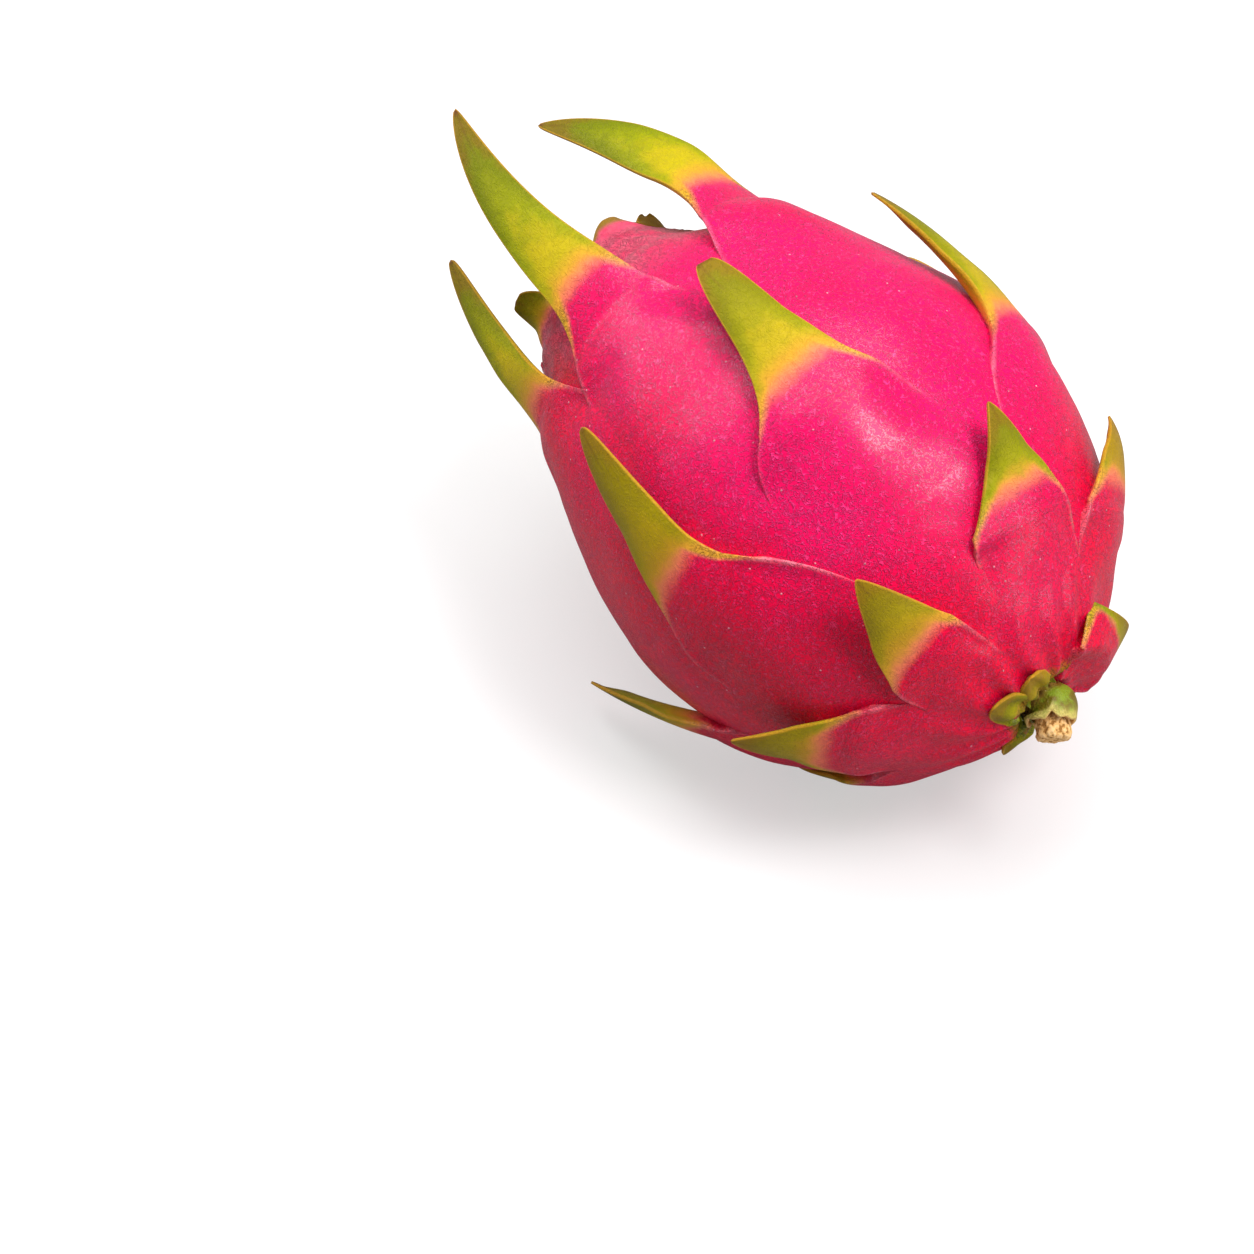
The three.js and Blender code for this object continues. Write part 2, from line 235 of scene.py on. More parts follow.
# the bracts: each row stands at one height round the body, in millimetres and degrees.
# A pair of values is for the side of lower turn and the side of higher turn.
# turn: of the row's first bract. foot: height above the stem end. long, wide: the free blade.
# taper: 0.5 for a blunt tip, 0.9 for a long point. rise: angle off the skin at the foot.
# curl: bend towards the body. lean, sway: the same two to the side. twist: turn about its length.
# press: 1 where the blade lies against the body, as under the fruit.
# shoulder, pad: length and height of the swelling behind the foot. flare: extra half width at the
# foot. spread: angle of the shoulder's edges to the body's length. ridge: height of the seam that
# goes on behind each margin. reach: how far behind the foot the margins stand proud of the skin.
# bumps: share of the body's unevenness that shows. dried: 1 for the scales round the hollow.
# old: 1 for scales that are olive down to the foot. bronze: how far the green has turned.
# pinkTo: where on the blade the pink ends. arm: how much lower the orange runs down the margins.
# duskTo: height up to which the neck's dusky colour can show.
rows = {
    "collar": {"count": 5, "turn": 62, "foot": 2, "long": 4, "wide": 5.5, "taper": 0.55,
               "rise": 6, "curl": 8, "shoulder": 4, "pad": 0.9, "flare": 0.8, "reach": 1.6, "old": 1},
    "stem": {"count": 7, "turn": 6, "foot": 18, "long": 20, "wide": 12, "taper": 0.75, "bronze": 0.5,
             "rise": 15, "curl": 14, "shoulder": 20, "pad": 2.4, "flare": 5.5, "reach": 7},
    "middle": {"count": 7, "turn": -18, "foot": 52, "long": 35, "wide": 12.5, "taper": 0.55,
               "bronze": 0.2, "rise": 7, "curl": 22, "shoulder": 34, "pad": 2.6, "flare": 5, "reach": 9},
    "blossom": {"count": 6, "turn": -34, "foot": 100, "long": 47, "wide": 12.5, "taper": 0.85,
                "bronze": 0, "rise": 26, "curl": 12, "shoulder": 40, "pad": 2.6, "flare": 5,
                "reach": 10, "pinkTo": 4.5, "duskTo": 99},
    "lips": {"count": 4, "turn": 5, "foot": 112, "long": 9, "wide": 14, "taper": 0.4,
             "rise": 4, "curl": 10, "shoulder": 12, "pad": 1.6, "flare": 2, "reach": 5, "dried": 1},
    "innerLips": {"count": 4, "turn": 49, "foot": 117, "long": 4.6, "wide": 13, "taper": 0.4,
                  "rise": 6, "curl": 26, "shoulder": 5, "pad": 1.1, "flare": 1, "reach": 2, "dried": 1},
}
# single bracts that depart from their row
departures = {
    "collar": {
        0: {"turn": 78.5, "foot": 2.5, "long": 7.3, "wide": 15.5, "taper": 0.8, "rise": 4, "curl": 6,
            "lean": 2.7, "shoulder": 9, "pad": 3.8, "flare": (10.7, 3.5), "spread": (0, 20), "reach": 4,
            "ridge": 0.2, "old": 0, "bronze": 0.5, "bumps": 0.2, "pinkTo": 7, "arm": (8, 12)},
        3: {"turn": -62, "foot": 1.7, "long": 5.4, "wide": 7, "rise": 8},
        4: {"turn": -30, "foot": 1.3, "long": 4.4, "wide": 6, "rise": 10, "bronze": 0.6},
    },
    "stem": {
        0: {"turn": 5, "foot": 20.4, "long": 18.8, "wide": 10.2, "rise": 16, "curl": 18, "lean": 1,
            "sway": -4.5, "flare": (8.5, 4.8), "spread": (26, 20), "reach": (3.5, 9), "pinkTo": 4.9,
            "arm": (5, 4), "old": 0.2, "bronze": 0.15},
        1: {"turn": 51.5, "foot": 17.4, "long": 17.4, "wide": 12, "rise": 23, "curl": 48, "lean": 10,
            "sway": 7.5, "taper": 0.9, "bronze": 0.8},
        6: {"turn": -46, "foot": 15, "long": 20, "rise": 19, "lean": 7, "sway": 6, "flare": (5.5, 1),
            "spread": (32, 8), "reach": (6, 10), "pinkTo": 0.3, "arm": (2, 5)},
    },
    "middle": {
        0: {"foot": 56, "long": 33, "wide": 12.9, "rise": 3, "curl": 18, "lean": 0.4, "sway": 5,
            "taper": (0.6, 0.22), "flare": (8, 3.4), "spread": (62, 27), "reach": (7, 11),
            "ridge": (0.1, 0.25), "pad": 3, "arm": (3.5, 7)},
        1: {"turn": 38, "foot": 50, "long": 36, "wide": 9, "rise": 9, "curl": 28, "lean": -6, "sway": 4.5,
            "flare": (2.5, 5), "spread": (46, 32), "reach": (12, 8), "pinkTo": 1},
        5: {"turn": -130, "foot": 43, "long": 32, "rise": 15, "curl": 13, "lean": -10, "sway": -5,
            "press": 0},
        6: {"turn": -68, "foot": 49, "long": 36, "rise": 5, "curl": 23, "lean": 9, "sway": 6,
            "flare": (8, 1.7), "spread": (46, 36), "reach": (10, 14), "ridge": (0.2, 0.6), "bronze": 0.5,
            "pinkTo": 4, "arm": (2, 10)},
    },
    "blossom": {
        0: {"turn": -37, "foot": 99, "long": 55.5, "wide": 14, "taper": (0.6, 0.75), "rise": 27.5,
            "curl": 8, "lean": -10, "sway": 33.5, "flare": (5.8, 2.1), "spread": (23, 17),
            "reach": (10, 6), "pinkTo": 8, "arm": (8, 5)},
        1: {"turn": 24, "foot": 103, "long": 49.2, "wide": 14.2, "taper": 0.7, "rise": 25, "curl": 29.5,
            "lean": 0, "sway": 3, "twist": 40, "pad": 4.8, "flare": (3, 14), "reach": (12, 14),
            "pinkTo": 6, "arm": (6, 16)},
        5: {"turn": -82, "foot": 101, "long": 38, "wide": 8, "taper": 0.5, "curl": 16, "sway": 6,
            "twist": -25, "flare": 3.5, "pinkTo": 1, "bronze": 0.1},
    },
    "lips": {
        0: {"turn": 2.7, "foot": 116.2, "long": 6.7, "wide": 13.3, "taper": (0.21, 0.33), "rise": 28,
            "curl": 25, "lean": 10, "shoulder": 9, "pad": 1.1, "flare": (4, 9.5), "spread": (20, 26),
            "reach": 4, "bumps": 0.4},
        1: {"turn": 104, "long": 8},
        3: {"turn": -64.5, "long": 8.8, "wide": 7.4, "taper": 0.26, "rise": 10, "curl": -66, "lean": -7,
            "dried": 0, "old": -0.4, "pinkTo": -0.8},
    },
    "innerLips": {
        0: {"turn": 39.3, "foot": 119.2, "long": 4.6, "wide": 9.5, "rise": 52, "curl": 25, "lean": 12,
            "pad": 0.5, "bumps": 0, "dried": 0, "old": 1, "bronze": 0.8},
    },
}
# how far a bract without departures may stray from its row
variation = {"turn": 3, "foot": 1, "long": 1.5, "wide": 0.8, "rise": 4, "curl": 5, "lean": 3, "sway": 4}
# what a row says nothing about
plain = {"lean": 0, "sway": 0, "twist": 0, "dried": 0, "old": 0, "bronze": 0.25, "ridge": 0.25,
         "spread": 32, "pinkTo": 2.7, "arm": 4, "bumps": 1, "duskTo": 200}
blade = {
    "seed": 20,
    "pressed": (0.45, 0.9),  # how far round under the fruit, 1 at the lowest line
    "shoulderWidest": 24,
    "padCrown": 0.25,  # share of the pad's height by which its edges are lower
    "padStart": 0.85,  # share of the shoulder over which the pad rises
    "rootDepth": 5,
    "sunk": 0.05,  # how far a shoulder lies under the skin where it doesn't show
    "freeBehind": 0.26,  # share of the shoulder where the margins are free underneath
    "freeOver": 4,
    "freeOverMost": 0.3,  # share of the blade that this may take
    "ridgeWidth": 1.8,
    "likeShoulder": 34,  # colours take every shoulder to be this long
    "likeLong": 20,  # and shorter blades to be this long
    "fullness": 1.45,
    "flareReach": 6,
    "leanOver": 0.25,  # shares of the blade
    "leanMost": 1.14,
    "twistOver": 0.6,
    "curvesOver": 0.35,  # from the body's own roundness to the blade's
    "cupsOver": 0.5,
    "pointedFrom": 0.7,
    "footThickness": 5,
    "footThicknessMost": 0.25,  # share of the blade's length
    "tipThickness": 1.4,
    "edgeThickness": 0.5,
    "tipRoom": 0.5,
    "thinning": 0.8,
    "cupping": 0.9,
    "seamFades": (-1.7, -0.7),  # in reaches behind the foot
    "seamEnds": (-4, 0),  # up to the foot
    "proudFrom": 0.5,  # behind the foot
    "bumpsFade": (0, 5),  # from the foot up the blade
    "dipFades": (5, 15),
    "around": 56,
    "rings": {"collar": 64, "lips": 64, "innerLips": 48},
    "mostRings": 120,
    "shoulderShare": 0.36,  # share of the rings that lie on the shoulder
}


def evenDraws(seed):
    state = seed
    while True:
        state = state * 16807 % 2147483647
        yield 2 * state / 2147483647 - 1


def listBracts():
    draws = evenDraws(blade["seed"])
    for rowName, row in rows.items():
        for index in range(row["count"]):
            bract = {"row": rowName, **plain, **row}
            bract["turn"] += index * 360 / row["count"]
            varied = {key: bract[key] + spread * next(draws) for key, spread in variation.items()}
            bract.update(departures[rowName].get(index, varied))
            below = -math.cos(math.radians(bract["turn"]))
            bract.setdefault("press", float(smooth(below, *blade["pressed"])))
            yield bract


def sided(value, share):
    low, high = value if isinstance(value, tuple) else (value, value)
    return mix(low, high, smooth(share, -1, 1))


def halfWidth(bract, run, share):
    run = np.maximum(run, 0)
    taper = sided(bract["taper"], share)
    widest = bract["wide"] / 2 * np.clip(1 - run ** blade["fullness"], 0, 1) ** taper
    flare = sided(bract["flare"], share) * np.exp(-run * bract["long"] / blade["flareReach"])
    return widest + flare * (1 - run ** 3)


def spineOf(bract, steps=96):
    turn = math.radians(bract["turn"])
    radial = np.array((math.cos(turn), math.sin(turn), 0))
    around = np.array((-math.sin(turn), math.cos(turn), 0))
    length = bract["long"] + blade["tipRoom"]
    foot = float(skinLean(bract["foot"]))
    point = skinPoint(turn, bract["foot"], bract["pad"])
    points, across, out = [], [], []
    for part in np.linspace(0, 1, steps + 1):
        free = foot + math.radians(bract["rise"] - bract["curl"] * part)
        lift = mix(free, float(skinLean(min(point[2], body["length"]))), bract["press"])
        leaned = blade["leanMost"] * float(smooth(part, 0, blade["leanOver"]))
        side = math.radians(bract["lean"] * leaned + bract["sway"] * part)
        ahead = np.array((0, 0, math.cos(lift) * math.cos(side)))
        ahead = ahead + radial * math.sin(lift) * math.cos(side) + around * math.sin(side)
        flatAcross = around - ahead * (around @ ahead)
        flatAcross /= np.linalg.norm(flatAcross)
        outward = np.cross(flatAcross, ahead)
        turned = -math.radians(bract["twist"]) * float(smooth(part, 0, blade["twistOver"]))
        points.append(point)
        across.append(flatAcross * math.cos(turned) - outward * math.sin(turned))
        out.append(outward * math.cos(turned) + flatAcross * math.sin(turned))
        point = point + ahead * length / steps
    return points[0], np.array(points), np.array(across), np.array(out)


def along(run, values):
    return np.stack([np.interp(run, np.linspace(0, 1, len(values)), column) for column in values.T], -1)


def freedom(bract, front, share):
    behind = blade["freeBehind"] * bract["shoulder"] * share ** 4
    return smooth(front + behind, 0, min(blade["freeOver"], blade["freeOverMost"] * bract["long"]))


def thickness(bract, run, share):
    foot = min(blade["footThickness"], blade["footThicknessMost"] * bract["long"])
    middle = mix(foot, blade["tipThickness"], run ** blade["thinning"])
    middle = mix(middle, blade["edgeThickness"], smooth(run, blade["pointedFrom"], 1))
    return mix(blade["edgeThickness"], middle, (1 - share ** 2) ** blade["thinning"])


def underSkin(bract, run, share):
    back = -np.minimum(run, 0) * bract["shoulder"]
    spread = back * np.tan(np.radians(sided(bract["spread"], share)))
    half = halfWidth(bract, 0, share) + spread
    half /= (1 + (half / blade["shoulderWidest"]) ** 4) ** 0.25
    turn = math.radians(bract["turn"]) + share * half / (skinRadius(bract["foot"]) + bract["pad"])
    return turn, heightBehind(bract["foot"], back), half


def seamOf(bract, run, share):
    front = np.minimum(run, 0) * bract["shoulder"]
    shown = smooth(front / sided(bract["reach"], share), *blade["seamFades"])
    return sided(bract["ridge"], share) * shown


def shoulderPoints(bract, run, share, under):
    turn, z, half = underSkin(bract, run, share)
    front = np.minimum(run, 0) * bract["shoulder"]
    dive = 1 - smooth(run, -1, -blade["padStart"])
    middle = mix(-blade["sunk"], bract["pad"], smooth(run, -blade["padStart"], 0)) - dive
    reach = sided(bract["reach"], share)
    proud = smooth(np.minimum(front + blade["proudFrom"], 0) / reach, -1, 0)
    edge = mix(-blade["sunk"], bract["pad"] * (1 - blade["padCrown"]), proud) - dive
    height = mix(edge, middle, (1 - share ** 2) ** mix(2, 1, smooth(front / reach, -1, 0)))
    margin = (1 - np.abs(share)) * half
    seam = np.exp(-(margin / blade["ridgeWidth"]) ** 2) * seamOf(bract, run, share)
    height += seam * (1 - smooth(front, *blade["seamEnds"]))
    thick = thickness(bract, 0, share)
    depth = mix(blade["rootDepth"], thick, freedom(bract, front, share))
    return skinPoint(turn, z, height - depth * under), half


def bladePoints(bract, run, share, under):
    run = np.maximum(run, 0)
    start, points, across, out = spineOf(bract)
    points, across, out = (along(run, values) for values in (points, across, out))
    free = smooth(run, 0, blade["curvesOver"])[:, None]
    overBody = float(skinRadius(bract["foot"])) + bract["pad"]
    cup = mix(overBody, bract["wide"] * blade["cupping"], smooth(run, 0, blade["cupsOver"]))
    half = halfWidth(bract, run, share)
    thick = thickness(bract, run, share)
    depth = mix(blade["rootDepth"], thick, freedom(bract, run * bract["long"], share)) * under
    turn = math.radians(bract["turn"]) + share * half / overBody
    above = bract["pad"] * (1 - blade["padCrown"] * share ** 2) - depth
    atFoot = skinPoint(turn, np.full(len(run), float(bract["foot"])), above) + points - start
    bend = share * half / cup
    drop = cup * (1 - np.cos(bend)) + depth
    onBlade = points + across * (cup * np.sin(bend))[:, None] - out * drop[:, None]
    return mix(atFoot, onBlade, free), half


def growBract(bract, number):
    rings = blade["rings"].get(bract["row"], blade["mostRings"])
    ball = addBall(f"bract{number}", blade["around"], rings)
    at = placesOf(ball)
    up = 1 - np.arccos(np.clip(at[:, 2], -1, 1)) / np.pi
    run = np.interp(up, (0, blade["shoulderShare"], 1), (-1, 0, 1))
    circle = np.arctan2(at[:, 1], at[:, 0])
    pole = np.hypot(at[:, 0], at[:, 1]) < 1e-4
    share = np.where(pole, 0, -np.cos(circle))
    edge = pole | (np.abs(np.sin(circle)) < 0.01)
    under = np.where(edge, 0.5, np.sin(circle) < 0)
    behind, halfBehind = shoulderPoints(bract, run, share, under)
    ahead, halfAhead = bladePoints(bract, run, share, under)
    onShoulder = run < 0
    half = np.where(onShoulder, halfBehind, halfAhead)
    points = np.where(onShoulder[:, None], behind, ahead)
    turn, z, _ = underSkin(bract, run, share)
    skin, past = skinPoint(turn, z), run * bract["long"]
    bumps = bract["bumps"] * skinRelief(skin) * (1 - smooth(past, *blade["bumpsFade"]))
    bumps -= dipDepth(skin) * (1 - smooth(past, *blade["dipFades"]))
    points += skinNormal(turn, z) * bumps[:, None]
    lying = layDown(points)
    lying[:, 2] = np.maximum(lying[:, 2], 0)
    place(ball, lying)
    ahead = run * max(bract["long"], blade["likeLong"])
    giveAttribute(ball, "front", np.where(onShoulder, run * blade["likeShoulder"], ahead))
    giveAttribute(ball, "tipward", np.maximum(run, 0))
    wall = (thickness(bract, np.maximum(run, 0), share) - blade["edgeThickness"]) * (under == 1)
    giveAttribute(ball, "margin", (1 - np.abs(share)) * half + wall)
    giveAttribute(ball, "across", share * half)
    for name in ("dried", "old", "bronze", "pinkTo", "arm"):
        giveAttribute(ball, name, sided(bract[name], share))
    giveAttribute(ball, "seam", seamOf(bract, run, share))
    giveAttribute(ball, "height", np.minimum(points[:, 2], bract["duskTo"]))
    giveAttribute(ball, "fromAxis", np.hypot(points[:, 0], points[:, 1]))
    return ball


fruitBody = growBody()
finish(fruitBody, "fruit")
print("body grown")

rowPieces = {}
for number, bract in enumerate(listBracts()):
    rowPieces.setdefault(bract["row"], []).append(growBract(bract, number))
bractPieces = []
for rowName, pieces in rowPieces.items():
    selectOnly(*pieces)
    bpy.ops.object.join()
    joined = bpy.context.object
    joined.name = f"{rowName}Bracts"
    finish(joined, "fruit")
    bractPieces.append(joined)
print("bracts grown:", sum(len(pieces) for pieces in rowPieces.values()))


# helpers for the node trees

def link(tree, value, socket):
    if isinstance(value, bpy.types.NodeSocket):
        tree.links.new(value, socket)
    else:
        socket.default_value = value


def addNode(tree, kind, settings=None, **inputs):
    node = tree.nodes.new(kind)
    for name, value in (settings or {}).items():
        setattr(node, name, value)
    for name, value in inputs.items():
        link(tree, value, node.inputs[name])
    return node


def attribute(tree, name):
    return addNode(tree, "ShaderNodeAttribute", {"attribute_name": name}).outputs["Fac"]


def calculate(tree, operation, *values):
    node = addNode(tree, "ShaderNodeMath", {"operation": operation})
    for value, socket in zip(values, node.inputs):
        link(tree, value, socket)
    return node.outputs[0]


def times(tree, first, second):
    return calculate(tree, "MULTIPLY", first, second)


def timesPlus(tree, value, factor, added):
    return calculate(tree, "MULTIPLY_ADD", value, factor, added)


def ramp(tree, value, low, high, start=0.0, end=1.0):
    node = addNode(tree, "ShaderNodeMapRange", {"interpolation_type": "SMOOTHSTEP"})
    for given, socket in zip((value, low, high, start, end), node.inputs):
        link(tree, given, socket)
    return node.outputs["Result"]


def fade(tree, value, low, high):
    return ramp(tree, value, low, high, 1.0, 0.0)


def centred(tree, value):
    return calculate(tree, "SUBTRACT", value, 0.5)


def blend(tree, share, first, second):
    node = addNode(tree, "ShaderNodeMix", {"data_type": "RGBA"})
    for value, number in ((share, 0), (first, 6), (second, 7)):
        link(tree, value, node.inputs[number])
    return node.outputs[2]


def noiseAt(tree, where, scale, detail=2.0, distortion=0.0):
    node = addNode(tree, "ShaderNodeTexNoise", Vector=where, Scale=scale, Detail=detail,
                   Distortion=distortion)
    return node.outputs["Fac"]


def pointOf(tree, x, y, z=0.0):
    node = addNode(tree, "ShaderNodeCombineXYZ")
    for value, socket in zip((x, y, z), node.inputs):
        link(tree, value, socket)
    return node.outputs[0]


def stretched(tree, across, front, scales):
    return pointOf(tree, times(tree, across, scales[0]), times(tree, front, scales[1]))


def newMaterial(name, **settings):
    material = bpy.data.materials.new(name)
    material.use_nodes = True
    shader = material.node_tree.nodes["Principled BSDF"]
    for socket, value in settings.items():
        shader.inputs[socket].default_value = value
    return material, material.node_tree, shader


def newGroup(name, inputs, outputs):
    group = bpy.data.node_groups.new(name, "ShaderNodeTree")
    for socketName, kind in inputs.items():
        group.interface.new_socket(socketName, in_out="INPUT", socket_type=kind)
    for socketName, kind in outputs.items():
        group.interface.new_socket(socketName, in_out="OUTPUT", socket_type=kind)
    given = group.nodes.new("NodeGroupInput").outputs
    return group, given, group.nodes.new("NodeGroupOutput").inputs


grain = {
    "streak": 820.0,  # per metre
    "streakWander": 1.6,
    "streakWidth": 0.07,
    "pore": 2600.0,
    "swell": 170.0,
    "speck": 330.0,
    "speckSize": 0.085,
    "speckless": 0.3,  # share of the specks' places that stay empty
    "heights": {"streak": 0.5, "pore": 0.3, "swell": 1.1, "speck": 0.25},
}


def makeGrain():
    group, given, result = newGroup("rindGrain", {"Vector": "NodeSocketVector"}, {
        "Height": "NodeSocketFloat", "Streaks": "NodeSocketFloat", "Specks": "NodeSocketFloat"})
    where = given["Vector"]
    rough = noiseAt(group, where, grain["streak"], 2.0, grain["streakWander"])
    streaks = fade(group, calculate(group, "ABSOLUTE", centred(group, rough)), 0.0, grain["streakWidth"])
    pores = noiseAt(group, where, grain["pore"], 1.0)
    swell = noiseAt(group, where, grain["swell"], 2.0)
    cells = addNode(group, "ShaderNodeTexVoronoi", Vector=where, Scale=grain["speck"])
    drawn = addNode(group, "ShaderNodeSeparateColor", Color=cells.outputs["Color"]).outputs[0]
    chosen = calculate(group, "GREATER_THAN", drawn, grain["speckless"])
    dots = fade(group, cells.outputs["Distance"], 0.4 * grain["speckSize"], grain["speckSize"])
    specks = times(group, dots, chosen)
    high = grain["heights"]
    height = times(group, pores, high["pore"])
    for layer, share in ((streaks, high["streak"]), (swell, high["swell"]), (specks, high["speck"])):
        height = timesPlus(group, layer, share, height)
    for name, value in (("Height", height), ("Streaks", streaks), ("Specks", specks)):
        group.links.new(value, result[name])
    return group


bractLook = {
    "salmon": (0.86, 0.20, 0.10, 1),
    "orange": (0.72, 0.34, 0.03, 1),
    "yellow": (0.50, 0.40, 0.006, 1),
    "lime": (0.275, 0.30, 0.002, 1),
    "green": (0.175, 0.21, 0.002, 1),
    "olive": (0.20, 0.15, 0.006, 1),
    "brown": (0.13, 0.045, 0.010, 1),
    "margin": (0.55, 0.29, 0.02, 1),
    "bronze": (0.38, 0.21, 0.006, 1),
    "seam": (0.92, 0.36, 0.42, 1),
    "dry": (0.27, 0.15, 0.02, 1),
    # where each colour comes in: the first four in millimetres past the end of the pink, the
    # others in shares of the blade
    "comesIn": {"salmon": (-1.5, 1.8), "orange": (0.8, 4.2), "yellow": (2.3, 7.5),
                "bronze": (1.0, 5.0), "lime": (0.28, 0.58), "green": (0.5, 0.85),
                "olive": (0.82, 1.08), "brown": (0.955, 0.995)},
    # in the same millimetres
    "marginAt": (1.0, 4.0),
    "glossFades": (-2.0, 2.5),
    # in shares of the blade
    "ribAt": (0.7, 0.85),
    "dryTip": (0.5, 0.82),
    "dryEdge": (0.2, 0.5),
    # millimetres from the margin, and for the rib from the middle line
    "marginWidth": 0.32,
    "armWidth": 3.2,
    "edgeWidth": 4.0,
    "seamWidth": 1.3,
    "dryWidth": 2.4,
    "ribWidth": 0.45,
    "marginShown": 0.65,
    "ribShown": 0.25,
    "lineScales": (1.2, 0.22),  # per millimetre, across and along
    "cloudScale": 0.3,
    # how much riper the noise, old age and the edges make a spot: in millimetres, then in shares
    "cloudShift": 2.0,
    "oldShift": 12.0,
    "edgeShift": 1.2,
    "cloudAhead": 0.3,
    "oldAhead": 0.5,
    "edgeAhead": 0.22,
    "lineAhead": 0.06,
}


def makeBractColour():
    floats = ("Front", "Tipward", "Margin", "Across", "Dried", "Old", "Bronze", "Seam", "PinkTo", "Arm")
    group, given, result = newGroup("bractColour", {
        "Flesh": "NodeSocketColor", **{name: "NodeSocketFloat" for name in floats}},
        {"Color": "NodeSocketColor", "Blade": "NodeSocketFloat"})
    front, tipward, margin, across = (given[name] for name in ("Front", "Tipward", "Margin", "Across"))
    look = bractLook
    lines = noiseAt(group, stretched(group, across, front, look["lineScales"]), 1.0, 3.0)
    clouds = noiseAt(group, pointOf(group, across, front), look["cloudScale"], 2.0)
    cloudy = centred(group, clouds)
    atEdge = fade(group, margin, 0.1, look["edgeWidth"])
    green = calculate(group, "SUBTRACT", front, given["PinkTo"])
    green = timesPlus(group, cloudy, look["cloudShift"], green)
    green = timesPlus(group, given["Old"], look["oldShift"], green)
    ripe = timesPlus(group, fade(group, margin, 0.0, look["armWidth"]), given["Arm"], green)
    yellow = timesPlus(group, atEdge, look["edgeShift"], green)
    far = timesPlus(group, atEdge, look["edgeAhead"], tipward)
    far = timesPlus(group, centred(group, lines), look["lineAhead"], far)
    far = timesPlus(group, cloudy, look["cloudAhead"], far)
    far = timesPlus(group, given["Old"], look["oldAhead"], far)
    seam = times(group, fade(group, margin, 0.2, look["seamWidth"]), given["Seam"])
    seam = times(group, seam, ramp(group, clouds, 0.3, 0.6, 0.4, 1.0))
    colour = blend(group, seam, given["Flesh"], look["seam"])
    for name, way in (("salmon", ripe), ("orange", ripe), ("yellow", yellow), ("lime", far),
                      ("green", far), ("olive", far), ("brown", tipward)):
        colour = blend(group, ramp(group, way, *look["comesIn"][name]), colour, look[name])
    turned = times(group, given["Bronze"], ramp(group, green, *look["comesIn"]["bronze"]))
    colour = blend(group, turned, colour, look["bronze"])
    rib = fade(group, calculate(group, "ABSOLUTE", across), 0.1, look["ribWidth"])
    rib = times(group, rib, ramp(group, tipward, *look["ribAt"]))
    colour = blend(group, times(group, rib, look["ribShown"]), colour, look["brown"])
    thin = fade(group, margin, 0.5 * look["marginWidth"], look["marginWidth"])
    line = times(group, times(group, thin, ramp(group, green, *look["marginAt"])), look["marginShown"])
    colour = blend(group, line, colour, look["margin"])
    rim = times(group, fade(group, margin, 0.5, look["dryWidth"]),
                ramp(group, tipward, *look["dryEdge"]))
    rim = calculate(group, "MAXIMUM", rim, ramp(group, tipward, *look["dryTip"]))
    dried = blend(group, rim, given["Flesh"], look["dry"])
    colour = blend(group, given["Dried"], colour, dried)
    group.links.new(colour, result["Color"])
    group.links.new(ramp(group, green, *look["glossFades"]), result["Blade"])
    return group


skinLook = {
    # painted light and shade: darker crimson flesh low down towards the table, lighter pink higher up
    # where the light falls
    "deep": (0.80, 0.001, 0.033, 1),
    "paintedLitPink": (0.90, 0.005, 0.125, 1),
    "paintedLightFrom": 0.05,  # metres above the table, over which the painted light takes over from the painted shade
    "paintedLightTo": 0.092,
    "patchScale": 45.0,  # per metre, as are all scales here
    "patchShift": 0.9,
    # lighter pink streaks: part of the rind's grain, part painted glints
    "streak": (1.0, 0.045, 0.26, 1),
    "streaksAndGlintsShown": (0.3, 0.8),  # on the darker, painted-shade colour and on the lighter, painted-light one: the painted glints show most where painted lit
    "speck": (0.95, 0.42, 0.50, 1),
    "specksShown": 0.85,
    "neck": (0.64, 0.11, 0.17, 1),
    "neckAt": (98.0, 110.0),  # millimetres above the stem end
    "foldScale": 260.0,
    "ring": (0.25, 0.17, 0.006, 1),
    "stemRing": ((4.0, 6.0), (9.5, 12.5)),  # height and radius over which it fades, in millimetres
    "blossomRim": (117.5, 120.0),
    "rimShown": 0.9,
    "frayScale": 300.0,
    "fray": (5.0, 7.0),  # of the edges of the stem ring and of the blossom rim, in millimetres
    "hollow": (0.10, 0.045, 0.015, 1),
    "fibre": (0.32, 0.19, 0.08, 1),
    "hollowShown": 0.95,
    "gloss": (1.0, 0.1, 0.5, 1),
    "haze": (1.0, 0.5, 0.62, 1),
    "coat": (0.3, 0.7),  # everywhere, and more on the streaks
    "roughness": (0.34, 0.5),
    "dulled": 0.5,
    "bumpDepth": 0.0005,
}


